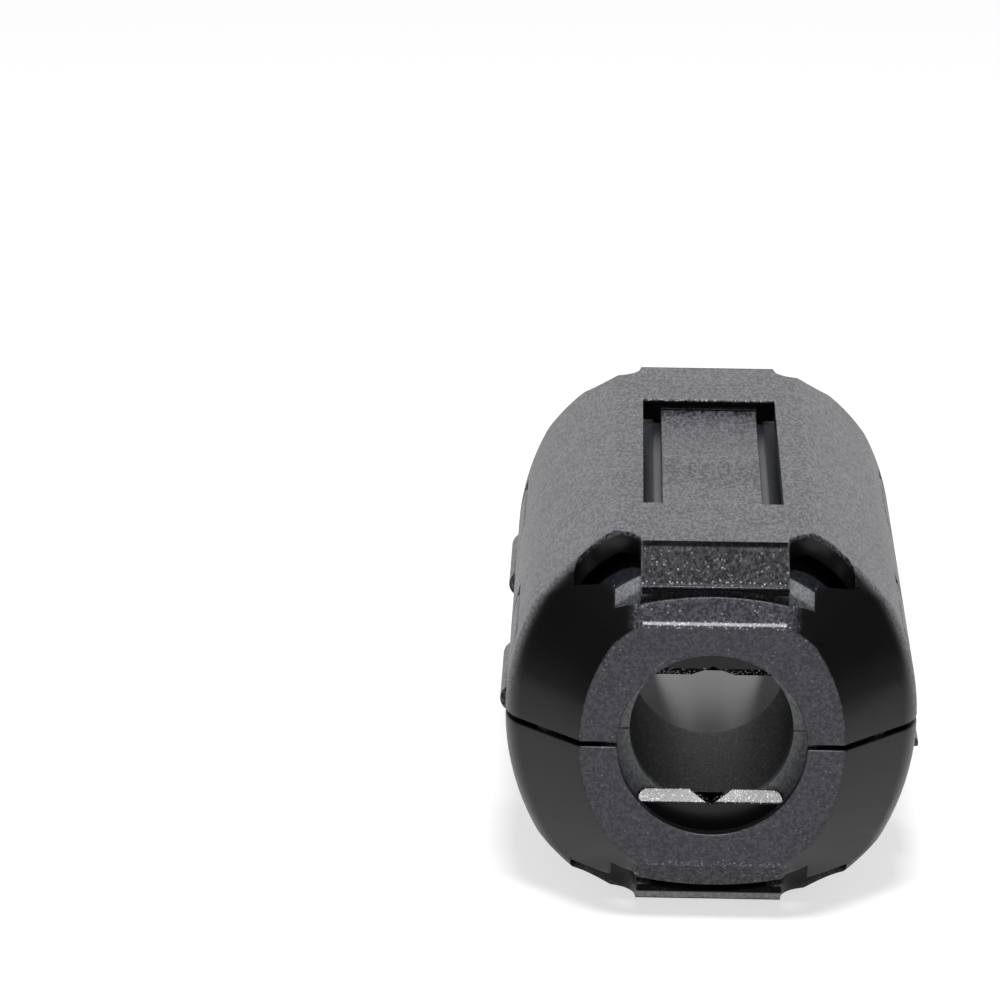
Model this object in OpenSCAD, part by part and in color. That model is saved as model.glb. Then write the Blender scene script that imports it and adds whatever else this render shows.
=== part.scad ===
// Clip-on ferrite bead: a hinged nylon case, clipped round two half-cylinder ferrite cores.
// The cable runs along Y. The case hinges at -X, latches at +X and parts at the plane z = 0.
// The origin is on the cable's axis, halfway along the case.

/* [Ferrite] */
// Outer diameter of the closed pair of cores
core_od = 16.6; // [14:0.1:20]
// Height of the closed pair of cores over their outer flats
core_h = 15.6; // [13.4:0.1:16.2]
// Length of the cores
core_l = 31.5; // [28:0.5:45]
// Diameter of the hole through the closed pair of cores
core_id = 7.8; // [6:0.1:9]
// Chamfer round the outer edge of each end of a core
core_chamfer = 0.5; // [0.2:0.05:0.8]
// Gap between the ground faces of the two cores
face_gap = 0.02; // [0.01:0.01:0.1]
// Gap left at each end of a core in its pocket
core_end_gap = 0.1; // [0.05:0.05:0.3]
// Gap between a core and the sides of its pocket
core_gap = 0.1; // [0.05:0.01:0.15]

/* [Case] */
// Wall of the case over the flats and the round corners
wall = 1.1; // [0.8:0.05:1.3]
// Wall of the case beside the cores, at the parting plane
side_wall = 1.5; // [1.3:0.05:1.6]
// Radius of the sides' shallow bow
side_r = 12.5; // [11:0.5:20]
// Room between the cores' flats and the wall over them
flat_room = 0.2; // [0.15:0.05:0.4]
// Room between the cores' round and the wall of the round corners
corner_room = 0.85; // [0.75:0.05:1.2]
// Radius of the soft shoulder where the round corners and sides meet the sloping ends
shoulder_r = 2.4; // [0.6:0.1:3]
// Radius of the shoulder where the outer flats meet the sloping ends
edge_r = 0.5; // [0.2:0.1:1.5]
// Radius of the shoulders inside the case
cavity_r = 0.3; // [0.1:0.1:1]
// Gap between the rims of the closed halves
rim_gap = 0.24; // [0.1:0.02:0.4]

/* [Ends] */
// Distance from the end of the case to the pocket that holds the cores
pocket_start = 2.15; // [2.05:0.05:3]
// How far the round corners slope in towards the end face
slope = 3.4; // [3:0.05:3.6]
// How far the sides slope in towards the end face
side_slope = 3.65; // [3.3:0.05:3.8]
// How far the outer flats slope in towards the end face
flat_slope = 3.15; // [2.8:0.05:3.4]
// Thickness of the end wall round the cable hole
end_wall = 0.65; // [0.6:0.05:0.8]
// Diameter of the cable hole in each end wall
hole_d = 9; // [7:0.1:9.4]
// Width of the lip above the end face
lip_w = 6.8; // [6:0.1:7.2]
// Distance from the end face to the foot of the lip
lip_foot = 0.2; // [0.1:0.05:0.25]
// Distance that the lip leans back on the way up
lip_lean = 0.3; // [0.1:0.05:0.3]
// Radius of the arched top of the lip
lip_arch = 15.4; // [10:0.2:30]

/* [Grip tongues] */
// Width of a tongue
tongue_w = 7; // [6:0.1:7.4]
// Distance from a tongue's bend back to the sloping end
bend_back = 0.1; // [0.05:0.05:0.4]
// Gap on each side of a tongue where it passes the end wall
tongue_gap = 0.12; // [0.08:0.02:0.2]
// Gap between a tongue and the core under it
tongue_lift = 0.08; // [0.05:0.01:0.15]
// Drop from the outer flat to a tongue's nose
nose_drop = 1.33; // [1.2:0.01:1.5]
// Length of the level part of a tongue behind its nose
nose_l = 0.3; // [0.25:0.01:0.6]
// Radius of the nose
nose_r = 0.2; // [0.1:0.02:0.25]
// Thickness of the nose over the middle of the lip
nose_t = 0.2; // [0.1:0.02:0.26]
// How far the nose stands out in front of the grip plate
nose_out = 0.78; // [0.7:0.01:0.85]
// Gap between the top of the lip and the nose above it
lip_gap = 0.3; // [0.2:0.01:0.4]
// Gap between the end wall and the grip plate behind it
plate_gap = 0.75; // [0.65:0.01:0.8]
// Thickness of a grip plate
plate_t = 0.6; // [0.4:0.05:0.65]
// Distance of a grip plate's edge from the cable's axis
grip_reach = 2.9; // [2.2:0.05:3.4]
// Bevel on the grip plate's edge
grip_bevel = 0.5; // [0.2:0.05:0.6]
// Radius of the grip plate's corners
grip_round = 0.5; // [0.2:0.05:1]
// Width of the notch in the grip plate's edge
notch_w = 2; // [1:0.1:2.6]
// Depth of the notch in the grip plate's edge
notch_d = 0.58; // [0.3:0.02:0.8]

/* [Slots] */
// Width of the slot along each side of a tongue
slot_w = 1.2; // [0.8:0.1:1.4]
// Distance from the end of the case to the slot, beside the tongue
slot_start = 0.85; // [0.8:0.05:1]
// How much further back the slot starts on its outer side
slot_skew = 0.3; // [0:0.05:0.4]
// Diameter of the round relief at the foot of each slot
relief_d = 3.16; // [2.6:0.02:3.3]
// Distance from the end of the case to where the slot widens into its relief
relief_start = 1.9; // [1.6:0.05:2.1]
// How much further back the relief starts on its outer side
relief_skew = 0.9; // [0.4:0.05:1]

/* [Window] */
// Width of the window in each outer flat
window_w = 6.8; // [6:0.1:7.4]
// Length of the window
window_l = 17.5; // [14:0.5:20]
// Width of the leaf spring across the window
leaf_w = 4.95; // [4:0.05:5.4]
// Thickness of the leaf spring
leaf_t = 0.5; // [0.4:0.05:0.55]
// Gap between the leaf spring and the core under it
leaf_lift = 0.05; // [0.02:0.01:0.1]
// Drop from the outer flat to the leaf spring's ridge
ridge_drop = 0.5; // [0.3:0.05:0.55]

/* [Hinge] */
// Distance of each strap's and each latch's middle from the end of the case
clip_inset = 9.4; // [9:0.1:10.5]
// Length of a hinge strap along the case
strap_l = 6.5; // [5:0.1:7]
// Height of a hinge strap above and below the parting plane
strap_h = 3.1; // [2.6:0.1:3.4]
// Depth of the pocket that a strap fills
strap_sink = 0.45; // [0.3:0.05:0.6]
// Outer radius of the bend in the middle of a strap
bend_r = 0.7; // [0.6:0.05:0.9]
// Thickness of a strap at its bend
bend_t = 0.3; // [0.2:0.02:0.4]
// How far a strap's bend stands out past the side of the case
bend_out = 0.3; // [0.2:0.05:0.4]
// Room in the pocket above and below a strap
strap_room = 0.4; // [0.1:0.05:0.6]
// Room in the pocket before a strap
strap_before = 0.15; // [0.1:0.05:0.6]
// Room in the pocket past a strap
strap_after = 0.55; // [0.1:0.05:0.8]

/* [Latch] */
// Length of a latch pocket along the case
latch_l = 8.2; // [7.4:0.1:9]
// Height of a latch pocket above and below the parting plane
latch_h = 4.3; // [4:0.05:4.4]
// Depth of a latch pocket
latch_sink = 0.65; // [0.55:0.05:0.75]
// Length of a latch loop along the case
loop_l = 6.9; // [6.4:0.1:7.2]
// Width of a latch loop's bars
loop_bar = 1.2; // [1:0.05:1.4]
// Gap between a latch loop and the pocket of the other half
loop_gap = 0.1; // [0.05:0.05:0.2]
// Room in the pocket above and below a latch loop
loop_room = 0.3; // [0.1:0.05:0.5]
// Radius of a latch loop's corners
loop_r = 0.6; // [0.2:0.1:1]
// Gap between a catch and the latch loop round it
catch_gap = 0.2; // [0.1:0.05:0.4]
// Height of a catch
catch_h = 1.6; // [1:0.1:1.8]
// How far a catch stands out past the side of the case
catch_out = 0.3; // [0.2:0.05:0.4]
// Height of a catch's blunt edge
catch_edge = 0.3; // [0.1:0.05:0.5]

/* [Hidden] */
$fn = 64;

// Colours of the two materials
nylon = "#26262a";
ferrite = "#4a4c52";

// A cut reaches this far, well past everything
beyond = 2 * core_l;
// A piece reaches this deep into the wall that carries it
root = 0.3;
// Facets of the wide arcs
arc_fn = 180;

// Places of the case's surfaces, measured from the middle of the cable's axis. Each side's
// bow is centred bow_x past the axis
end_y = core_l / 2 + core_end_gap + pocket_start;
side_x = core_od / 2 + core_gap + side_wall;
bow_x = side_r - side_x;
flat_z = core_h / 2 + flat_room + wall;
corner_r = core_od / 2 + corner_room + wall;
clip_y = end_y - clip_inset;

// Distances from the end of the case, measured inward
bend_v = flat_slope + bend_back;
plate_v = end_wall + plate_gap;
plate_back_v = plate_v + plate_t;
nose_v = plate_v - nose_out;
nose_back_v = nose_v + nose_l;

// Height of the cores' flats and of what clears them
core_flat_z = core_h / 2;
tongue_under_z = core_flat_z + tongue_lift;

// Heights of the nose and the lip under it
nose_z = flat_z - nose_drop;
nose_under_z = nose_z - nose_t;
lip_z = nose_under_z - lip_gap;

// Each leaf spring is two shallow scoops, with a ridge between them
scoop_l = window_l / 2;
leaf_low_z = core_flat_z + leaf_lift + leaf_t;
leaf_rise = flat_z - ridge_drop - leaf_low_z;
scoop_r = scoop_l * scoop_l / (8 * leaf_rise) + leaf_rise / 2;

// A strap's pocket, and the middle of the strap's bend
strap_pocket_h = strap_h + strap_room;
strap_bend_x = side_x + bend_out - bend_r;

// A latch loop's low bar lies just under the catch's blunt face
loop_h = latch_h - loop_room;
catch_foot_z = -loop_h + loop_bar + catch_gap;
catch_top_z = catch_foot_z + catch_h;
catch_l = loop_l - 2 * (loop_bar + catch_gap);

// Distance of the bowed side from the plane x = 0, at a height
function side_at(z) = sqrt(side_r * side_r - z * z) - bow_x;

// Children are repeated as their mirror image across x = 0
module both_sides() {
    for (side = [0, 1]) {
        mirror([side, 0, 0]) children();
    }
}

// Children are drawn at both ends, with y measured inward from the end of the case
module both_ends() {
    for (end = [0, 1]) {
        mirror([0, end, 0]) translate([0, -end_y, 0]) children();
    }
}

// Children drawn as a (y, z) section are extruded along X
module along_x(length) {
    rotate([90, 0, 90]) linear_extrude(length, center = true) children();
}

// Children drawn as an (x, z) section are extruded along Y
module along_y(length) {
    rotate([90, 0, 0]) linear_extrude(length, center = true) children();
}

// Half of a lengthwise outline, in x and y: the sides are at mid_half and run at 45 degrees
// to the ends, where they have come in by run, past a shoulder of the given radius
module half_outline(mid_half, run, shoulder) {
    end_half = mid_half - run;
    shoulder_y = end_y - run;
    ease = shoulder * tan(22.5);
    slope_ease = ease * sqrt(0.5);
    polygon([
        [0, -end_y],
        [end_half, -end_y],
        [mid_half - slope_ease, -shoulder_y - slope_ease],
        [mid_half, -shoulder_y + ease],
        [mid_half, shoulder_y - ease],
        [mid_half - slope_ease, shoulder_y + slope_ease],
        [end_half, end_y],
        [0, end_y],
    ]);
    for (end = [-1, 1]) {
        translate([mid_half - shoulder, end * (shoulder_y - ease)]) circle(shoulder);
    }
}

// The whole outer form, or the same form with every wall brought in by inset
module case_form(inset, round_shoulder, flat_shoulder) {
    // A 45 degree slope moved in by inset lies this much further along
    slip = inset * (sqrt(2) - 1);
    intersection() {
        rotate([90, 0, 0]) rotate_extrude()
            half_outline(corner_r - inset, slope + slip, round_shoulder);
        intersection_for(side = [-1, 1]) {
            translate([side * bow_x, 0, 0]) rotate([90, 0, 0]) rotate_extrude()
                half_outline(side_r - inset, side_slope + slip, round_shoulder);
        }
        rotate([0, -90, 0]) linear_extrude(2 * corner_r, center = true) both_sides()
            half_outline(flat_z - inset, flat_slope + slip, flat_shoulder);
    }
}

// The closed pair of cores as one solid, or the pocket that holds it
module core_form(gap, end_gap) {
    radius = core_od / 2 + gap;
    half_l = core_l / 2 + end_gap;
    intersection() {
        rotate([90, 0, 0]) rotate_extrude() polygon([
            [0, -half_l],
            [radius - core_chamfer, -half_l],
            [radius, -half_l + core_chamfer],
            [radius, half_l - core_chamfer],
            [radius - core_chamfer, half_l],
            [0, half_l],
        ]);
        cube([beyond, beyond, 2 * (core_flat_z + gap)], center = true);
    }
}

// The hollow of the closed case
module cavity() {
    intersection() {
        case_form(wall, cavity_r, cavity_r);
        cube([core_od + 2 * core_gap, 2 * (end_y - end_wall), beyond], center = true);
    }
    core_form(core_gap, core_end_gap);
}

// The cable's way through both end walls
module cable_hole() {
    along_y(beyond) circle(d = hole_d);
}

// The opening that a tongue lies in, between the end wall and the outer flat
module tongue_room() {
    width = tongue_w + 2 * tongue_gap;
    translate([-width / 2, end_wall, 0]) cube([width, bend_v - end_wall, beyond]);
}

// The slot at a tongue's +X side, which widens into a round relief at its foot
module slot() {
    inner = tongue_w / 2;
    outer = inner + slot_w;
    relief_x = inner + relief_d;
    linear_extrude(beyond) {
        polygon([
            [inner, slot_start],
            [outer, slot_start + slot_skew],
            [outer, relief_start],
            [relief_x, relief_start + relief_skew],
            [relief_x, bend_v],
            [inner, bend_v],
        ]);
        intersection() {
            translate([inner + relief_d / 2, bend_v]) circle(d = relief_d);
            translate([inner, bend_v]) square(relief_d);
        }
    }
}

// The arched top of the lip, raised by rise, as an (x, z) section
module lip_arch_section(rise) {
    radius = lip_arch + rise;
    translate([0, lip_z + rise - radius]) circle(radius, $fn = arc_fn);
}

// Front view of the lip, in x and z: its sides fall at 45 degrees from the ends of the arch
module lip_front(low_z) {
    half_w = lip_w / 2;
    side_z = lip_z - lip_arch + sqrt(lip_arch * lip_arch - half_w * half_w);
    intersection() {
        polygon([
            [-half_w - side_z + low_z, low_z],
            [half_w + side_z - low_z, low_z],
            [half_w + side_z - lip_z, lip_z],
            [-half_w - side_z + lip_z, lip_z],
        ]);
        lip_arch_section(0);
    }
}

// The lip that stands on the end wall in front of a tongue, a step back from the end face
module lip() {
    foot_z = flat_z - flat_slope + lip_foot;
    low_z = foot_z - root;
    half_w = lip_w / 2;
    end_half_w = half_w + end_wall - lip_foot;
    intersection() {
        along_x(beyond) polygon([
            [lip_foot, low_z],
            [lip_foot, foot_z],
            [lip_foot + lip_lean, lip_z],
            [end_wall, lip_z],
            [end_wall, low_z],
        ]);
        along_y(beyond) lip_front(low_z);
        linear_extrude(beyond) polygon([
            [-half_w, lip_foot],
            [half_w, lip_foot],
            [end_half_w, end_wall],
            [-end_half_w, end_wall],
        ]);
    }
}

// Side view of a tongue, in y and z: the slope, the nose and the grip plate under it
module tongue_section() {
    polygon([
        [bend_v + root, flat_z],
        [bend_v, flat_z],
        [nose_back_v, nose_z],
        [nose_v + nose_r, nose_z],
        [nose_v, nose_z - nose_r],
        [nose_v, grip_reach + grip_bevel],
        [plate_v, grip_reach + grip_bevel],
        [plate_v + grip_bevel, grip_reach],
        [plate_back_v, grip_reach],
        [plate_back_v, nose_z - plate_t],
        [pocket_start, tongue_under_z],
        [bend_v + root, tongue_under_z],
    ]);
    translate([nose_v + nose_r, nose_z - nose_r]) circle(nose_r);
}

// Front view of a tongue, in x and z, with the notch in the grip plate's edge
module tongue_front() {
    half_w = tongue_w / 2;
    corner_z = grip_reach + grip_round;
    difference() {
        union() {
            translate([-half_w, corner_z]) square([tongue_w, flat_z]);
            translate([-half_w + grip_round, grip_reach])
                square([tongue_w - 2 * grip_round, 2 * grip_round]);
            for (side = [-1, 1]) {
                translate([side * (half_w - grip_round), corner_z]) circle(grip_round);
            }
        }
        polygon([
            [0, grip_reach + notch_d],
            [notch_w, grip_reach - notch_d],
            [-notch_w, grip_reach - notch_d],
        ]);
    }
}

// A springy tongue: the grip plate under its nose bites on the cable
module tongue() {
    difference() {
        intersection() {
            along_x(beyond) tongue_section();
            along_y(beyond) tongue_front();
        }
        translate([0, plate_v - beyond / 2, 0]) along_y(beyond) lip_arch_section(lip_gap);
    }
}

// The leaf spring across the window, which presses on the core
module leaf_spring() {
    for (end = [-1, 1]) {
        intersection() {
            translate([0, end * scoop_l / 2, leaf_low_z + scoop_r]) along_x(leaf_w) difference() {
                circle(scoop_r + leaf_t, $fn = arc_fn);
                circle(scoop_r, $fn = arc_fn);
            }
            translate([-leaf_w, end > 0 ? 0 : -scoop_l - root, 0])
                cube([2 * leaf_w, scoop_l + root, flat_z]);
        }
    }
}

// Section of the bowed +X side, in x and z
module bow_section() {
    translate([-bow_x, 0]) circle(side_r, $fn = arc_fn);
}

// Section of a pocket in the +X side, in x and z: its floor follows the bow in four flat steps
module pocket_section(sink, height) {
    floor_points = [for (k = [-1:0.5:1]) [side_at(k * height) - sink, k * height]];
    polygon(concat(floor_points, [[beyond, height], [beyond, -height]]));
}

// The pockets in the sides, for the straps and for the latches
module side_pockets() {
    for (end = [-1, 1]) {
        translate([0, end * clip_y + (strap_after - strap_before) / 2, 0]) mirror([1, 0, 0])
            along_y(strap_before + strap_l + strap_after)
            pocket_section(strap_sink, strap_pocket_h);
        translate([0, end * clip_y, 0]) along_y(latch_l) pocket_section(latch_sink, latch_h);
    }
}

// The upper half of the case, up from the parting plane
module half_case() {
    difference() {
        union() {
            difference() {
                case_form(0, shoulder_r, edge_r);
                cavity();
                cable_hole();
                both_ends() tongue_room();
                both_ends() both_sides() slot();
                translate([-window_w / 2, -window_l / 2, 0]) cube([window_w, window_l, beyond]);
                side_pockets();
            }
            both_ends() lip();
            both_ends() tongue();
            leaf_spring();
        }
        translate([0, 0, rim_gap / 2 - beyond / 2]) cube(beyond, center = true);
    }
}

// The wedge that a latch loop springs over, on the floor of the lower pocket
module catch() {
    out_x = side_x + catch_out;
    top_x = side_at(catch_top_z) - latch_sink;
    foot_x = side_at(catch_foot_z) - latch_sink;
    along_y(catch_l) polygon([
        [top_x - root, catch_top_z],
        [top_x, catch_top_z],
        [out_x, catch_foot_z + catch_edge],
        [out_x, catch_foot_z],
        [foot_x - root, catch_foot_z],
    ]);
}

// One half of the closed pair of cores
module half_core() {
    difference() {
        core_form(0, 0);
        along_y(beyond) circle(d = core_id);
        translate([0, 0, face_gap / 2 - beyond / 2]) cube(beyond, center = true);
    }
}

// Section of a hinge strap at +X, in x and z: it fills the pocket out to the bow of the side,
// but for the hollow bend where it crosses from one half to the other
module strap_section() {
    hollow_r = bend_r - bend_t;
    difference() {
        intersection() {
            pocket_section(strap_sink, strap_pocket_h);
            square([beyond, 2 * strap_h], center = true);
            union() {
                bow_section();
                translate([strap_bend_x, 0]) circle(bend_r);
            }
        }
        translate([strap_bend_x, 0]) circle(hollow_r);
        translate([0, -hollow_r]) square([strap_bend_x, 2 * hollow_r]);
    }
}

// A strap bridges the two halves at -X
module hinge_strap() {
    mirror([1, 0, 0]) along_y(strap_l) strap_section();
}

// Front view of a latch loop, in y and z, with the window that the catch springs into
module loop_front() {
    half_l = loop_l / 2;
    window_half = half_l - loop_bar;
    window_foot = -loop_h + loop_bar;
    window_top = catch_top_z + catch_gap;
    difference() {
        union() {
            translate([-half_l, loop_r - loop_h]) square([loop_l, 2 * loop_h - loop_r]);
            translate([loop_r - half_l, -loop_h]) square([loop_l - 2 * loop_r, loop_h]);
            for (end = [-1, 1]) {
                translate([end * (half_l - loop_r), loop_r - loop_h]) circle(loop_r);
            }
        }
        translate([-window_half, window_foot])
            square([2 * window_half, window_top - window_foot]);
    }
}

// Section of a latch loop, in x and z: its foot is on the upper pocket's floor, it stands
// clear of the lower one, and its outside lies flush with the bow of the side
module loop_section() {
    intersection() {
        bow_section();
        union() {
            pocket_section(latch_sink - loop_gap, latch_h);
            intersection() {
                pocket_section(latch_sink, latch_h);
                translate([0, rim_gap / 2]) square([beyond, latch_h]);
            }
        }
    }
}

// A latch loop hangs from the upper half and holds the lower half's catch
module latch_loop() {
    intersection() {
        along_x(beyond) loop_front();
        along_y(beyond) loop_section();
    }
}

module upper_shell() {
    color(nylon) half_case();
}

module lower_shell() {
    color(nylon) {
        mirror([0, 0, 1]) half_case();
        for (end = [-1, 1]) {
            translate([0, end * clip_y, 0]) catch();
        }
    }
}

module upper_core() {
    color(ferrite) half_core();
}

module lower_core() {
    color(ferrite) mirror([0, 0, 1]) half_core();
}

module front_hinge_strap() {
    color(nylon) translate([0, -clip_y, 0]) hinge_strap();
}

module rear_hinge_strap() {
    color(nylon) translate([0, clip_y, 0]) hinge_strap();
}

module front_latch_loop() {
    color(nylon) translate([0, -clip_y, 0]) latch_loop();
}

module rear_latch_loop() {
    color(nylon) translate([0, clip_y, 0]) latch_loop();
}

lower_shell();
upper_shell();
lower_core();
upper_core();
front_hinge_strap();
rear_hinge_strap();
front_latch_loop();
rear_latch_loop();
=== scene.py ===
"""Looks of a clip-on ferrite bead: a hinged nylon case round two half cores.

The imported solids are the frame. Each piece here is a merged copy of one solid with its
moulded or ground edges rounded, dressed in a finish of its own, and rides on a body.
Lengths are in metres, in the solids' own frame: the cable runs along Y and +Z is up. The
places of masks on the case and the cores are in millimetres.
"""
import logging
import math
from dataclasses import dataclass, field
from enum import Enum
from typing import Any, ClassVar, Optional, Union

import bmesh
import bpy
from mathutils import Matrix, Vector
from mathutils.bvhtree import BVHTree


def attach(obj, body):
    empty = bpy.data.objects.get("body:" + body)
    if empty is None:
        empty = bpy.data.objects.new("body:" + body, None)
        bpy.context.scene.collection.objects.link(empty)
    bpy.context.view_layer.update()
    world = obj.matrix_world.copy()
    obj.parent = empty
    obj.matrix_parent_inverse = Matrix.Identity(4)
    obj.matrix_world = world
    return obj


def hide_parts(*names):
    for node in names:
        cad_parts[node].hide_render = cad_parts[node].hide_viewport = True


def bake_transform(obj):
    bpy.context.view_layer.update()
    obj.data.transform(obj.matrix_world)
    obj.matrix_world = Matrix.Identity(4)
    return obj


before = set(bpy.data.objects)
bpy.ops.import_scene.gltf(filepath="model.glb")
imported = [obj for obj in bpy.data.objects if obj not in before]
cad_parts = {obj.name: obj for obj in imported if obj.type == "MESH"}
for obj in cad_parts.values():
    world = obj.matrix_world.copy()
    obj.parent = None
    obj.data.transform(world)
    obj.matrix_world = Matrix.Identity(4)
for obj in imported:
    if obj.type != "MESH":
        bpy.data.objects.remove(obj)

MM = 0.001
MERGE = 0.004 * MM
FLAT_ANGLE = math.radians(1.5)
SHARP_ANGLE = math.radians(15.5)
SHADE_ANGLE = math.radians(25)
ROUNDING_STEPS = 3
FLAT_WEIGHT = 60
# The shortest edge beside a rounding holds its radius at least this many times.
RADII_PER_EDGE = 2.1
# A rounding's points may stand off the solid by the larger of these shares: of the plain
# radius, and of the widest one.
STRAY_SHARE = 0.55
WIDE_STRAY_SHARE = 0.33
WHITE = (1, 1, 1, 1)
log = logging.getLogger("bead")

Number = Union[int, float]
Operand = Union["Value", Number]
Colour = tuple[float, float, float]
Limits = tuple[float, float]


class Body(Enum):
    """The bodies that the hinge joins."""

    BASE = "base"
    LID = "lid"


class Slot(Enum):
    """The record's material slots."""

    NYLON = "nylon"
    FERRITE = "ferrite"


class Value:
    """What varies over a surface: a node's output that takes part in sums."""

    def __init__(self, graph: "Graph", socket: Optional[bpy.types.NodeSocket]) -> None:
        """Wraps a socket.

        Args:
            graph: The graph that the socket's node belongs to.
            socket: The output socket, or None for a node that has no outputs.
        """
        self.graph = graph
        self.socket = socket

    def __add__(self, other: Operand) -> "Value":
        """The sum."""
        return self.graph.maths("ADD", self, other)

    __radd__ = __add__

    def __sub__(self, other: Operand) -> "Value":
        """The difference."""
        return self.graph.maths("SUBTRACT", self, other)

    def __rsub__(self, other: Operand) -> "Value":
        """The difference from a number."""
        return self.graph.maths("SUBTRACT", other, self)

    def __mul__(self, other: Operand) -> "Value":
        """The product."""
        return self.graph.maths("MULTIPLY", self, other)

    __rmul__ = __mul__

    def __pow__(self, other: Operand) -> "Value":
        """The power."""
        return self.graph.maths("POWER", self, other)

    def __abs__(self) -> "Value":
        """The size without its sign."""
        return self.graph.maths("ABSOLUTE", self)

    def most(self, *others: Operand) -> "Value":
        """Finds the largest.

        Args:
            others: What it is compared with.

        Returns:
            The largest of all of them.
        """
        largest = self
        for other in others:
            largest = self.graph.maths("MAXIMUM", largest, other)
        return largest

    def rise(self, start: Number, end: Number) -> "Value":
        """Goes smoothly from 0 to 1.

        Args:
            start: Where it is still 0.
            end: Where it reaches 1, past the start.

        Returns:
            The mask.
        """
        return self.graph.node(
            "ShaderNodeMapRange",
            {"Value": self, "From Min": start, "From Max": end},
            interpolation_type="SMOOTHSTEP",
        )

    def over(self, limits: Limits) -> "Value":
        """A mask of 0 below the limits, in millimetres, and 1 above them."""
        return self.rise(limits[0] * MM, limits[1] * MM)

    def under(self, limits: Limits) -> "Value":
        """A mask of 1 below the limits, in millimetres, and 0 above them."""
        return 1 - self.over(limits)

    def between(self, low: Limits, high: Limits) -> "Value":
        """A mask of 1 above the low limits and below the high ones."""
        return self.over(low) * self.under(high)


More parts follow.
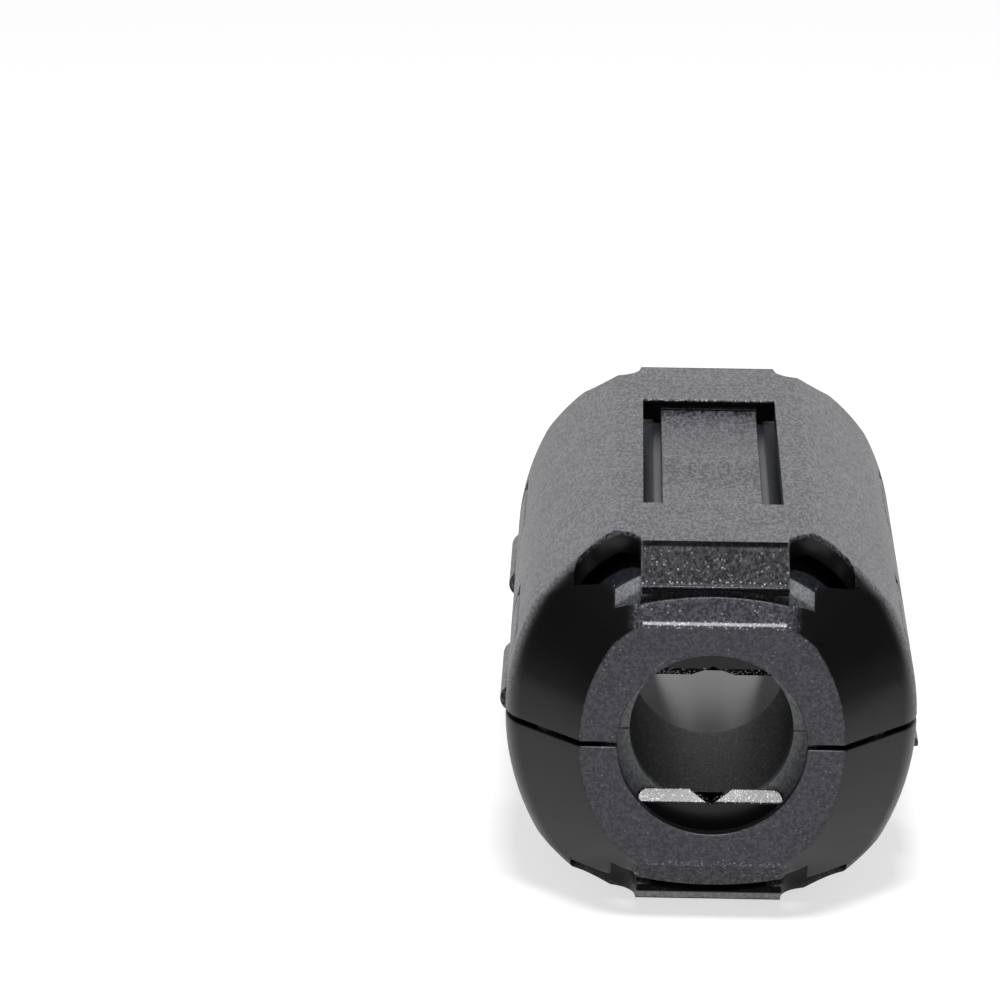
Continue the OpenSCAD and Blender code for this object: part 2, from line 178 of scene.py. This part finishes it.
class Graph:
    """The node tree of one material or world.

    FLOW is how far a point is drawn together along each axis where a pattern is to look drawn
    out along the cable.
    """

    FLOW: ClassVar[tuple[float, float, float]] = (1, 0.45, 1)

    def __init__(self, tree: bpy.types.NodeTree) -> None:
        """Empties the tree.

        Args:
            tree: The node tree to fill.
        """
        self.tree = tree
        tree.nodes.clear()

    def node(
        self,
        kind: str,
        sockets: Optional[dict[Union[str, int], Any]] = None,
        output: Union[str, int] = 0,
        **settings: Any,
    ) -> Value:
        """Adds a node.

        Args:
            kind: Blender's name of the node's type.
            sockets: What goes into its inputs: numbers, colours or other nodes' outputs.
            output: The output that is returned.
            settings: The node's own settings, made before its sockets are filled.

        Returns:
            The chosen output.
        """
        made = self.tree.nodes.new(kind)
        for name, setting in settings.items():
            setattr(made, name, setting)
        for name, value in (sockets or {}).items():
            if isinstance(value, Value):
                self.tree.links.new(value.socket, made.inputs[name])
            else:
                made.inputs[name].default_value = value
        return Value(self, made.outputs[output] if made.outputs else None)

    def maths(self, operation: str, *operands: Operand) -> Value:
        """Adds a Math node.

        Args:
            operation: What it works out.
            operands: Its one or two operands.

        Returns:
            The result.
        """
        return self.node("ShaderNodeMath", dict(enumerate(operands)), operation=operation)

    def split(self, vector: Value) -> tuple[Value, Value, Value]:
        """Takes a vector apart.

        Args:
            vector: The vector.

        Returns:
            Its x, y and z.
        """
        first = self.node("ShaderNodeSeparateXYZ", {0: vector})
        x, y, z = (Value(self, part) for part in first.socket.node.outputs)
        return x, y, z

    def place(self) -> tuple[Value, Value, Value, Value]:
        """Reads the surface's own coordinates.

        Returns:
            The point, and its x, y and z in metres.
        """
        point = self.node("ShaderNodeTexCoord", output="Object")
        return (point, *self.split(point))

    def flow(self, point: Value) -> Value:
        """The point at which a pattern is read so that it looks drawn out along the cable."""
        return self.node("ShaderNodeVectorMath", {0: point, 1: self.FLOW}, operation="MULTIPLY")

    def colours(self, share: Operand, first: Any, second: Any) -> Value:
        """Mixes two colours.

        Args:
            share: How much of the second there is.
            first: The colour at a share of 0.
            second: The colour at a share of 1.

        Returns:
            The mixed colour.
        """
        return self.node(
            "ShaderNodeMix",
            {"Factor": share, 6: first, 7: second},
            output=2,
            data_type="RGBA",
        )

    def noise(self, point: Value, size: float, detail: float, roughness: float) -> Value:
        """Adds a noise.

        Args:
            point: Where it is read.
            size: The size of its features in metres.
            detail: How many finer layers it has.
            roughness: How strong the finer layers are.

        Returns:
            The noise, from 0 to 1 round 0.5.
        """
        return self.node(
            "ShaderNodeTexNoise",
            {"Vector": point, "Scale": 1 / size, "Detail": detail, "Roughness": roughness},
            output="Fac",
        )

    def cells(self, point: Value, size: float, output: str) -> Value:
        """Adds a pattern of cells.

        Args:
            point: Where it is read.
            size: The size of a cell in metres.
            output: Which of the pattern's outputs is returned.

        Returns:
            The chosen output.
        """
        return self.node(
            "ShaderNodeTexVoronoi", {"Vector": point, "Scale": 1 / size}, output=output
        )

    def specks(self, point: Value, size: float, fade: Limits) -> tuple[Value, Value]:
        """Scatters specks, one to a cell.

        Args:
            point: Where they are read.
            size: The size of a cell in metres.
            fade: How far from its middle a speck starts to fade and ends, in cells.

        Returns:
            A level from 0 to 1 that each cell draws for itself, and a mask of the specks.
        """
        drawn = self.cells(point, size, "Color")
        level = self.node("ShaderNodeSeparateColor", {"Color": drawn}, "Red")
        return level, 1 - self.cells(point, size, "Distance").rise(*fade)

    def bump(self, height: Value, depth: float, strength: Operand) -> Value:
        """Turns a height into a normal.

        Args:
            height: The height, from 0 to 1.
            depth: How deep a height of 1 is, in metres.
            strength: How much of the effect shows.

        Returns:
            The normal.
        """
        return self.node(
            "ShaderNodeBump", {"Height": height, "Distance": depth, "Strength": strength}
        )

    def surface(self, colour: Value, roughness: Value, refraction: float, normal: Value) -> Value:
        """Adds the shader of a surface with some gloss.

        Args:
            colour: Its colour.
            roughness: Its roughness.
            refraction: Its index of refraction.
            normal: Its normal.

        Returns:
            The shader.
        """
        return self.node(
            "ShaderNodeBsdfPrincipled",
            {"Base Color": colour, "Roughness": roughness, "IOR": refraction, "Normal": normal},
            output="BSDF",
        )

    def chalk(self, colour: Colour) -> Value:
        """Adds the shader of a surface of one colour without any gloss."""
        return self.node("ShaderNodeBsdfDiffuse", {"Color": (*colour, 1)}, output="BSDF")


def new_material(name: str) -> tuple[bpy.types.Material, Graph]:
    """Makes an empty material.

    Args:
        name: Its name.

    Returns:
        The material, and the graph of its nodes.
    """
    made = bpy.data.materials.new(name)
    made.use_nodes = True
    return made, Graph(made.node_tree)


@dataclass(frozen=True)
class CaseMasks:
    """How far a point of the case belongs to each of its zones, from 0 to 1.

    The gaps are the tongue's bend, the step under its nose and the ends of the window. They
    are painted near black, in place of shade that the light alone doesn't leave there.
    """

    ends: Value
    face: Value
    slope: Value
    nose: Value
    lip: Value
    plate: Value
    plate_edge: Value
    rim: Value
    coarse: Value
    gaps: Value


@dataclass(frozen=True)
class CaseZones:
    """Where the zones of the case lie, alike on both halves, both ends and both sides.

    Each pair holds the two places, in millimetres, between which a mask steps. An "along" is
    measured from the middle of the length, a "side" from the middle of the width, a "height"
    from the parting plane and an "around" from the cable's axis.
    """

    face_along: Limits = (17.9, 17.97)
    cone_along: Limits = (13.9, 14.7)
    cone_side: Limits = (3.5, 4.2)
    cone_height: Limits = (5.7, 5.9)
    tongue_side: Limits = (3.4, 3.5)
    slope_along: Limits = (14.9, 15.2)
    slope_height: Limits = (7.55, 7.65)
    nose_low: Limits = (7.74, 7.8)
    nose_high: Limits = (7.84, 7.88)
    lip_along: Limits = (17.6, 17.7)
    lip_low: Limits = (5.8, 5.9)
    lip_high: Limits = (6.15, 6.25)
    plate_along: Limits = (16.7, 16.8)
    plate_around: Limits = (4.6, 4.8)
    plate_edge_low: Limits = (2.0, 2.1)
    plate_edge_high: Limits = (3.38, 3.44)
    relief_from: Limits = (11.5, 12.0)
    relief_to: Limits = (16.2, 16.4)
    relief_side: Limits = (3.5, 3.6)
    relief_low: Limits = (5.9, 6.0)
    relief_high: Limits = (8.85, 9.0)
    relief_around: Limits = (9.95, 10.1)
    window_from: Limits = (8.66, 8.7)
    window_to: Limits = (8.85, 8.9)
    wall_height: Limits = (8.9, 8.98)
    rim_height: Limits = (8.93, 9.0)
    spring_side: Limits = (2.5, 2.52)
    spring_height: Limits = (8.72, 8.76)
    root_from: Limits = (8.5, 8.54)
    root_to: Limits = (8.78, 8.8)
    root_height: Limits = (9.0, 9.05)
    bend_from: Limits = (14.62, 14.7)
    bend_to: Limits = (14.96, 15.12)
    bend_height: Limits = (8.6, 8.7)
    step_low: Limits = (7.3, 7.34)
    step_high: Limits = (7.62, 7.72)

    def masks(self, x: Value, y: Value, z: Value) -> CaseMasks:
        """Works out the masks of the zones.

        Args:
            x: The surface's own x.
            y: Its y.
            z: Its z.

        Returns:
            The masks.
        """
        side, along, height = abs(x), abs(y), abs(z)
        around = (x * x + z * z) ** 0.5
        middle = side.under(self.tongue_side)
        beside = side.over(self.cone_side).most(height.under(self.cone_height))
        cone = along.between(self.cone_along, self.face_along) * beside
        ends = along.over(self.slope_along)
        slope = ends * middle * height.over(self.slope_height)
        plate = ends * along.under(self.plate_along) * around.under(self.plate_around)
        relief = (
            along.between(self.relief_from, self.relief_to)
            * side.over(self.relief_side)
            * height.between(self.relief_low, self.relief_high)
            * around.under(self.relief_around)
        )
        window = along.between(self.window_from, self.window_to) * middle
        clear = side.over(self.spring_side).most(height.over(self.spring_height))
        wall = window * height.under(self.wall_height) * clear
        crease = along.between(self.root_from, self.root_to) * middle
        root = (window * (1 - clear)).most(crease * height.under(self.root_height))
        bend = along.between(self.bend_from, self.bend_to) * middle
        step = ends * middle * height.between(self.step_low, self.step_high)
        return CaseMasks(
            ends=ends,
            face=along.over(self.face_along),
            slope=slope,
            nose=slope * height.between(self.nose_low, self.nose_high),
            lip=middle * height.between(self.lip_low, self.lip_high) * along.over(self.lip_along),
            plate=plate,
            plate_edge=plate * height.between(self.plate_edge_low, self.plate_edge_high),
            rim=window * height.over(self.rim_height),
            coarse=1 - cone.most(relief, wall),
            gaps=(bend * height.over(self.bend_height)).most(step, root),
        )


@dataclass(frozen=True)
class MouldedNylon:
    """Black nylon: a grey sanded skin on flats and end faces, a smooth dark one on slopes.

    A "step" is the pair of levels between which a noise turns from 0 to 1, and "gap" is the
    painted shade of the gaps.
    """

    dark: Colour = (0.009, 0.0092, 0.012)
    light: Colour = (0.12, 0.121, 0.144)
    polished: Colour = (0.006, 0.006, 0.0068)
    dust_and_glint: Colour = (0.6, 0.6, 0.62)
    gap: Colour = (0.002, 0.002, 0.002)
    gap_share: float = 0.9
    grain: float = 0.16 * MM
    grain_layers: float = 5.0
    grain_crispness: float = 0.72
    grain_depth: float = 0.03 * MM
    pit: float = 0.08 * MM
    pit_layers: float = 3.0
    pit_crispness: float = 0.6
    cloud: float = 2.4 * MM
    cloud_layers: float = 2.0
    cloud_crispness: float = 0.5
    fleck: float = 0.11 * MM
    fleck_fade: Limits = (0.15, 0.55)
    grain_step: Limits = (0.38, 0.62)
    grain_share: float = 0.55
    fleck_share: float = 0.45
    sand_step: Limits = (0.25, 0.75)
    sand_middle: float = 0.5
    calm: float = 0.6
    calm_at_ends: float = 0.6
    polish_of_slope: float = 0.65
    few_step: Limits = (0.93, 1.0)
    few_paleness: float = 0.8
    few_loss_on_face: float = 0.5
    many_step: Limits = (0.55, 1.0)
    many_fall: int = 2
    many_paleness: float = 0.4
    bright_crowding: float = 0.3
    bright_gain: float = 0.6
    smooth: float = 0.3
    rough: float = 0.36
    cloud_middle: float = 0.5
    cloud_spread: float = 0.08
    plate_gloss: float = 0.05
    slope_middle: float = 0.65
    slope_spread: float = 0.3
    bump_grain: float = 0.6
    bump_pits: float = 0.4
    bump_smooth: float = 0.2
    bump_matt: float = 0.8
    refraction: float = 1.42

    def material(self, name: str) -> bpy.types.Material:
        """Builds the material.

        Args:
            name: Its name.

        Returns:
            The material.
        """
        made, graph = new_material(name)
        point, x, y, z = graph.place()
        masks = CaseZones().masks(x, y, z)
        drawn = graph.flow(point)
        grain = graph.noise(drawn, self.grain, self.grain_layers, self.grain_crispness)
        pits = graph.noise(point, self.pit, self.pit_layers, self.pit_crispness)
        clouds = graph.noise(point, self.cloud, self.cloud_layers, self.cloud_crispness)
        chance, fleck = graph.specks(drawn, self.fleck, self.fleck_fade)
        matt_share = masks.coarse * (1 - masks.plate.most(masks.lip, masks.rim))
        height = grain * self.bump_grain + pits * self.bump_pits
        strength = self.bump_smooth + matt_share * self.bump_matt
        skin = graph.surface(
            self.colour(graph, masks, grain, chance, fleck),
            self.roughness(masks, clouds, chance, matt_share),
            self.refraction,
            graph.bump(height, self.grain_depth, strength),
        )
        # The gaps are mixed towards near black: painted shade, not a colour of the nylon.
        shaded = graph.node(
            "ShaderNodeMixShader",
            {"Fac": masks.gaps * self.gap_share, 1: skin, 2: graph.chalk(self.gap)},
            output="Shader",
        )
        graph.node("ShaderNodeOutputMaterial", {"Surface": shaded})
        return made

    def colour(
        self, graph: Graph, masks: CaseMasks, grain: Value, chance: Value, fleck: Value
    ) -> Value:
        """Colours the skin: sanded, calmer at the ends, dark where smooth, and specked with pale
        dust and painted glints.

        Args:
            graph: The material's graph.
            masks: The masks of the zones.
            grain: The grain's height.
            chance: The level that each fleck draws.
            fleck: The mask of the flecks.

        Returns:
            The colour.
        """
        mixed = grain.rise(*self.grain_step) * self.grain_share + chance * self.fleck_share
        calm = masks.face.most(masks.ends * self.calm_at_ends) * self.calm
        speckle = mixed.rise(*self.sand_step) * (1 - calm) + calm * self.sand_middle
        tone = graph.colours(speckle, (*self.dark, 1), (*self.light, 1))
        sanded = masks.coarse * (1 - masks.slope * self.polish_of_slope)
        skin = graph.colours(sanded, (*self.polished, 1), tone)
        return graph.colours(self.sparks(masks, chance, fleck), skin, (*self.dust_and_glint, 1))

    def sparks(self, masks: CaseMasks, chance: Value, fleck: Value) -> Value:
        """Scatters pale specks, dust and painted glints: few over the ends, many on slopes, noses,
        lips, rims.

        Args:
            masks: The masks of the zones.
            chance: The level that each fleck draws.
            fleck: The mask of the flecks.

        Returns:
            How pale a point is, from 0 to 1.
        """
        # Noses, lips, rims and plate edges crowd with pale specks: painted glints in place of the
        # highlights on their rounded edges.
        bright = masks.nose.most(masks.lip, masks.rim, masks.plate_edge)
        crowd = (chance + bright * self.bright_crowding).rise(*self.many_step)
        many = crowd**self.many_fall * (self.many_paleness + bright * self.bright_gain)
        few = chance.rise(*self.few_step) * (self.few_paleness - masks.face * self.few_loss_on_face)
        spark = few.most(many * masks.slope.most(bright)) * fleck
        return spark * masks.coarse.most(masks.plate_edge) * masks.ends.most(masks.rim)

    def roughness(
        self, masks: CaseMasks, clouds: Value, chance: Value, matt_share: Value
    ) -> Value:
        """Works out how rough the skin is: clouded, and uneven from fleck to fleck on slopes.

        Args:
            masks: The masks of the zones.
            clouds: A broad noise.
            chance: The level that each fleck draws.
            matt_share: How matt the skin is, from 0 to 1.

        Returns:
            The roughness.
        """
        matt = self.smooth + matt_share * (self.rough - self.smooth)
        clouded = matt + (clouds - self.cloud_middle) * self.cloud_spread
        uneven = masks.slope * (chance - self.slope_middle) * self.slope_spread
        return clouded - masks.plate * self.plate_gloss + uneven


@dataclass(frozen=True)
class FiredFerrite:
    """Dark blue-grey fired ferrite: polished in mid-bore, specked and worn pale at its ends,
    where the pale on the end chamfers is partly chips and partly painted sheen.

    The places are measured and paired as the case's are. A "step" is the pair of levels
    between which a noise turns from 0 to 1.
    """

    base: Colour = (0.012, 0.013, 0.018)
    mottle_gain: float = 2.2
    pale: Colour = (0.4, 0.41, 0.43)
    mottle: float = 0.3 * MM
    mottle_crispness: float = 0.6
    mottle_step: Limits = (0.35, 0.7)
    speck: float = 0.13 * MM
    speck_crispness: float = 0.7
    speck_fade: Limits = (0.15, 0.6)
    speck_step: Limits = (0.82, 0.99)
    speck_paleness: float = 0.7
    hull_loss: float = 0.8
    layers: float = 3.0
    dust_step: Limits = (0.42, 0.62)
    dust_share: float = 0.3
    chip_and_sheen_step: Limits = (0.35, 0.65)
    chip_and_sheen_least: float = 0.35
    chip_and_sheen_spread: float = 0.45
    rough: float = 0.4
    rough_spread: float = 0.03
    polish_gloss: float = 0.2
    polish_calm: float = 0.9
    bump_depth: float = 0.012 * MM
    refraction: float = 1.6
    bore_around: Limits = (3.95, 4.1)
    polish_along: Limits = (5.4, 6.0)
    end_along: Limits = (15.15, 15.3)
    hull_around: Limits = (6.4, 6.8)
    outer_chamfer: Limits = (6.2, 6.6)
    inner_chamfer: Limits = (4.9, 5.2)

    def material(self, name: str) -> bpy.types.Material:
        """Builds the material.

        Args:
            name: Its name.

        Returns:
            The material.
        """
        made, graph = new_material(name)
        point, x, y, z = graph.place()
        along = abs(y)
        around = (x * x + z * z) ** 0.5
        bore = around.under(self.bore_around)
        outward = along.over(self.polish_along)
        end = along.over(self.end_along)
        polish = bore * (1 - outward)
        mottle = graph.noise(point, self.mottle, self.layers, self.mottle_crispness)
        drawn = graph.flow(point)
        fine = graph.noise(drawn, self.speck, self.layers, self.speck_crispness)
        chance, speck = graph.specks(drawn, self.speck, self.speck_fade)
        lighter = (*(part * self.mottle_gain for part in self.base), 1)
        tone = graph.colours(mottle.rise(*self.mottle_step), (*self.base, 1), lighter)
        # The end chamfers are painted pale: partly chips, partly painted sheen in place of the
        # light their ground faces reflect.
        chamfers = around.over(self.outer_chamfer).most(around.under(self.inner_chamfer))
        dusty = bore * outward * fine.rise(*self.dust_step) * self.dust_share
        chip_and_sheen_level = self.chip_and_sheen_least + fine.rise(*self.chip_and_sheen_step) * self.chip_and_sheen_spread
        chips_and_sheen = end * chamfers * chip_and_sheen_level
        worn_and_sheen = graph.colours(dusty.most(chips_and_sheen), tone, (*self.pale, 1))
        hull = around.over(self.hull_around) * (1 - end)
        spark = chance.rise(*self.speck_step) * speck * outward * (1 - hull * self.hull_loss)
        skin = graph.surface(
            graph.colours(spark * self.speck_paleness, worn_and_sheen, (*self.pale, 1)),
            self.rough - polish * self.polish_gloss + mottle * self.rough_spread,
            self.refraction,
            graph.bump(fine, self.bump_depth, 1 - polish * self.polish_calm),
        )
        graph.node("ShaderNodeOutputMaterial", {"Surface": skin})
        return made


def select_only(piece: bpy.types.Object) -> None:
    """Selects one object alone and makes it active.

    Args:
        piece: The object.
    """
    bpy.ops.object.select_all(action="DESELECT")
    piece.select_set(True)
    bpy.context.view_layer.objects.active = piece


@dataclass(frozen=True)
class Part:
    """One piece: the solid that it stands for, its own name and the body that it rides on."""

    node: str
    name: str
    body: Body


@dataclass
class SubAssembly:
    """Pieces of one finish, each a copy of one solid with its sharp edges rounded."""

    slot: ClassVar[Slot]
    parts: ClassVar[tuple[Part, ...]]

    edge: float = 0.08 * MM
    made: list[bpy.types.Object] = field(default_factory=list, init=False)

    @property
    def widest(self) -> float:
        """The widest radius that any edge gets."""
        return self.edge

    def radius_at(self, middle: Vector) -> float:
        """The radius of the edge that has this middle."""
        return self.edge

    def build(self) -> None:
        """Builds the pieces and sets each on its body."""
        for part in self.parts:
            piece = self.soft_copy(part)
            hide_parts(part.node)
            self.fit(piece)
            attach(piece, part.body.value)
            self.made.append(piece)

    def fit(self, piece: bpy.types.Object) -> None:
        """Readies a piece for its body, which takes nothing where the piece is stiff."""

    def dress(self, finish: bpy.types.Material) -> None:
        """Gives every piece its finish.

        Args:
            finish: The material, which belongs to the slot.
        """
        for piece in self.made:
            piece.data.materials.append(finish)

    def soft_copy(self, part: Part) -> bpy.types.Object:
        """Copies a solid as one closed skin and rounds its sharp edges.

        Args:
            part: Names the solid and the piece.

        Returns:
            The piece, still without a finish.
        """
        piece = bpy.data.objects.new(part.name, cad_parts[part.node].data.copy())
        piece.data.materials.clear()
        bpy.context.scene.collection.objects.link(piece)
        select_only(piece)
        bpy.ops.mesh.customdata_custom_splitnormals_clear()
        bpy.ops.object.mode_set(mode="EDIT")
        bpy.ops.mesh.select_all(action="SELECT")
        bpy.ops.mesh.remove_doubles(threshold=MERGE)
        bpy.ops.mesh.dissolve_limited(angle_limit=FLAT_ANGLE)
        bpy.ops.object.mode_set(mode="OBJECT")
        skin = BVHTree.FromObject(piece, bpy.context.evaluated_depsgraph_get())
        self.round_edges(piece)
        self.settle(piece, skin)
        bpy.ops.object.shade_smooth_by_angle(angle=SHADE_ANGLE)
        shading = piece.modifiers.new("Flats", "WEIGHTED_NORMAL")
        shading.mode = "FACE_AREA"
        shading.weight = FLAT_WEIGHT
        shading.keep_sharp = True
        bpy.ops.object.modifier_apply(modifier=shading.name)
        return piece

    def round_edges(self, piece: bpy.types.Object) -> None:
        """Rounds the sharp edges, each by its own share of the widest radius.

        Args:
            piece: The piece.
        """
        weights = piece.data.attributes.new("bevel_weight_edge", "FLOAT", "EDGE")
        weights.data.foreach_set("value", self.shares(piece.data))
        rounding = piece.modifiers.new("Edges", "BEVEL")
        rounding.width = self.widest
        rounding.segments = ROUNDING_STEPS
        rounding.limit_method = "WEIGHT"
        rounding.use_clamp_overlap = False
        bpy.ops.object.modifier_apply(modifier=rounding.name)

    def shares(self, mesh: bpy.types.Mesh) -> list[float]:
        """Works out how much of the widest radius each edge gets.

        Args:
            mesh: The mesh.

        Returns:
            A share from 0 to 1 for each edge: 0 on smooth edges, and less beside short ones.
        """
        form = bmesh.new()
        form.from_mesh(mesh)
        shares = [0.0] * len(form.edges)
        for line in form.edges:
            if line.calc_face_angle(0.0) > SHARP_ANGLE:
                shortest = min(near.calc_length() for end in line.verts for near in end.link_edges)
                middle = (line.verts[0].co + line.verts[1].co) / 2
                radius = min(self.radius_at(middle), shortest / RADII_PER_EDGE)
                shares[line.index] = radius / self.widest
        form.free()
        return shares

    def settle(self, piece: bpy.types.Object, skin: BVHTree) -> None:
        """Draws points of a rounding that stray too far back to the solid's skin.

        Args:
            piece: The rounded piece.
            skin: The solid's skin before the rounding.
        """
        reach = max(self.edge * STRAY_SHARE, self.widest * WIDE_STRAY_SHARE)
        for point in piece.data.vertices:
            nearest, _, _, gap = skin.find_nearest(point.co)
            if gap > reach:
                point.co = nearest


@dataclass
class Case(SubAssembly):
    """The two hinged halves of the case."""

    slot = Slot.NYLON
    parts = (
        Part("lower_shell", "lower_case_half", Body.BASE),
        Part("upper_shell", "upper_case_half", Body.LID),
    )

    ring_edge: float = 0.16 * MM
    ring_from: float = 3.6 * MM
    ring_full: float = 5.2 * MM
    ring_face: float = 17.95 * MM
    hole_radius: float = 4.6 * MM
    parting_edge: float = 0.2 * MM

    @property
    def widest(self) -> float:
        """The widest radius that any edge gets."""
        return max(self.edge, self.ring_edge)

    def radius_at(self, middle: Vector) -> float:
        """Gives an edge's radius, which grows along the round outline of an end face.

        Args:
            middle: The middle of the edge.

        Returns:
            The radius in metres.
        """
        inside = math.hypot(middle.x, middle.z) < self.hole_radius
        if abs(middle.y) < self.ring_face or inside or abs(middle.z) < self.parting_edge:
            return self.edge
        share = (abs(middle.x) - self.ring_from) / (self.ring_full - self.ring_from)
        return self.edge + (self.ring_edge - self.edge) * min(1.0, max(0.0, share))


@dataclass
class Cores(SubAssembly):
    """The two half cores of ferrite."""

    slot = Slot.FERRITE
    parts = (
        Part("lower_core", "lower_half_core", Body.BASE),
        Part("upper_core", "upper_half_core", Body.LID),
    )

    edge: float = 0.07 * MM


@dataclass
class HingeStraps(SubAssembly):
    """The two thin straps that bend when the lid opens."""

    slot = Slot.NYLON
    parts = (
        Part("front_hinge_strap", "front_strap", Body.BASE),
        Part("rear_hinge_strap", "rear_strap", Body.BASE),
    )

    bend_from: float = -0.55 * MM
    bend_to: float = 0.55 * MM
    pivot_x: float = -10.05 * MM
    bands: int = 16

    def fit(self, piece: bpy.types.Object) -> None:
        """Cuts a strap across into bands, ready to bend from the base to the lid, and bakes its
        place.

        Args:
            piece: The strap.
        """
        self.cut_across(piece)
        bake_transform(piece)

    def cut_across(self, piece: bpy.types.Object) -> None:
        """Cuts a strap across into bands of even height, so that it bends smoothly.

        Args:
            piece: The strap.
        """
        select_only(piece)
        bpy.ops.object.mode_set(mode="EDIT")
        for band in range(1, self.bands):
            level = self.bend_from + (self.bend_to - self.bend_from) * band / self.bands
            bpy.ops.mesh.select_all(action="SELECT")
            bpy.ops.mesh.bisect(plane_co=(0, 0, level), plane_no=(0, 0, 1))
        bpy.ops.object.mode_set(mode="OBJECT")


@dataclass
class LatchLoops(SubAssembly):
    """The two loops on the upper half that snap over the lower half's catches."""

    slot = Slot.NYLON
    parts = (
        Part("front_latch_loop", "front_loop", Body.LID),
        Part("rear_latch_loop", "rear_loop", Body.LID),
    )

    edge: float = 0.1 * MM


@dataclass
class Studio:
    """A pale sheet under a white backdrop, with a pale front and one soft lamp above it.

    A "from" is where a part of the surround starts and is full, as a share of a way's length.
    """

    floor_level: float = -9.1 * MM
    floor_width: float = 0.15
    floor_length: float = 1.0
    floor_colour: Colour = (0.48, 0.48, 0.48)
    floor_lift: float = 0.66
    gloss_share: float = 0.7
    lamp_place: tuple[float, float, float] = (0.0, -0.13, 0.40)
    lamp_side: float = 0.09
    lamp_power: float = 1.3
    side_light: float = 0.015
    back_light: float = 1.1
    above_light: float = 0.1
    front_light: float = 0.6
    back_from: Limits = (0.3, 0.75)
    above_from: Limits = (0.55, 0.95)
    front_from: Limits = (0.4, 0.9)

    def build(self) -> None:
        """Builds the floor, the surround and the lamp."""
        self.lay_floor()
        self.surround()
        self.hang_lamp("high_soft_box")

    def lay_floor(self) -> None:
        """Lays the floor: a grey that takes the shadow, lifted to white only where it is seen."""
        bpy.ops.object.select_all(action="DESELECT")
        bpy.ops.mesh.primitive_plane_add(size=1, location=(0, 0, self.floor_level))
        bpy.ops.transform.resize(value=(self.floor_width, self.floor_length, 1))
        bpy.ops.object.transform_apply(location=False, rotation=False, scale=True)
        floor = bpy.context.active_object
        floor.name = "floor"
        made, graph = new_material("pale_floor")
        strength = self.seen(graph, self.gloss_share) * self.floor_lift
        paper = graph.chalk(self.floor_colour)
        lift = graph.node(
            "ShaderNodeEmission", {"Color": WHITE, "Strength": strength}, output="Emission"
        )
        both = graph.node("ShaderNodeAddShader", {0: paper, 1: lift})
        graph.node("ShaderNodeOutputMaterial", {"Surface": both})
        floor.data.materials.append(made)

    @staticmethod
    def seen(graph: Graph, gloss_share: Operand) -> Value:
        """Tells which rays see the background.

        Args:
            graph: The graph that asks.
            gloss_share: The level for a ray off gloss or through glass.

        Returns:
            1 for a ray from the camera, the share for one off gloss or through glass, else 0.
        """
        camera = graph.node("ShaderNodeLightPath", output="Is Camera Ray")
        gloss = graph.node("ShaderNodeLightPath", output="Is Glossy Ray")
        glass = graph.node("ShaderNodeLightPath", output="Is Transmission Ray")
        return camera.most(gloss.most(glass) * gloss_share)

    def surround(self) -> None:
        """Fills the world: white behind, paler in front, faint above and dim to the sides."""
        world = bpy.data.worlds.new("studio")
        bpy.context.scene.world = world
        world.use_nodes = True
        graph = Graph(world.node_tree)
        _, y, z = graph.split(graph.node("ShaderNodeTexCoord", output="Generated"))
        behind = y.rise(*self.back_from)
        above = z.rise(*self.above_from)
        front = (0 - y).rise(*self.front_from)
        light = (self.side_light + behind * self.back_light).most(
            above * self.above_light, front * self.front_light
        )
        level = light.most(self.seen(graph, behind))
        background = graph.node(
            "ShaderNodeBackground", {"Color": WHITE, "Strength": level}, output="Background"
        )
        graph.node("ShaderNodeOutputWorld", {"Surface": background})

    def hang_lamp(self, name: str) -> None:
        """Hangs the square lamp and points it at the bead.

        Args:
            name: Its name.
        """
        made = bpy.data.lights.new(name, "AREA")
        made.size = self.lamp_side
        made.energy = self.lamp_power
        lamp = bpy.data.objects.new(name, made)
        place = Vector(self.lamp_place)
        lamp.location = place
        lamp.rotation_mode = "QUATERNION"
        lamp.rotation_quaternion = (-place).to_track_quat("-Z", "Y")
        bpy.context.scene.collection.objects.link(lamp)


@dataclass
class Viewpoint:
    """The camera."""

    place: tuple[float, float, float] = (-0.004767, -0.232997, 0.080982)
    way: tuple[float, float, float] = (-0.02374, 0.95199, -0.30521)
    roll: float = math.radians(0.475)
    lens: float = 174.7
    sensor: float = 36.0
    nearest: float = 0.01
    farthest: float = 10.0

    def build(self) -> None:
        """Sets up the camera and the plain view transform."""
        made = bpy.data.cameras.new("camera")
        made.lens = self.lens
        made.sensor_width = self.sensor
        made.clip_start = self.nearest
        made.clip_end = self.farthest
        camera = bpy.data.objects.new("camera", made)
        ahead = Vector(self.way).normalized()
        camera.rotation_mode = "QUATERNION"
        turn = Matrix.Rotation(-self.roll, 4, ahead)
        upright = ahead.to_track_quat("-Z", "Y").to_matrix().to_4x4()
        camera.matrix_world = Matrix.Translation(self.place) @ turn @ upright
        bpy.context.scene.collection.objects.link(camera)
        bpy.context.scene.camera = camera
        bpy.context.scene.view_settings.view_transform = "Standard"


def main() -> None:
    """Builds the bead and its studio."""
    logging.basicConfig(level=logging.INFO, format="%(message)s")
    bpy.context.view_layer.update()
    Viewpoint().build()
    Studio().build()
    nylon = MouldedNylon().material("moulded_nylon")
    ferrite = FiredFerrite().material("fired_ferrite")
    for assembly, finish in (
        (Case(), nylon),
        (Cores(), ferrite),
        (HingeStraps(), nylon),
        (LatchLoops(), nylon),
    ):
        assembly.build()
        assembly.dress(finish)
        for piece in assembly.made:
            log.info("%s: %d faces", piece.name, len(piece.data.polygons))
    bpy.context.view_layer.update()


if __name__ == "__main__":
    main()
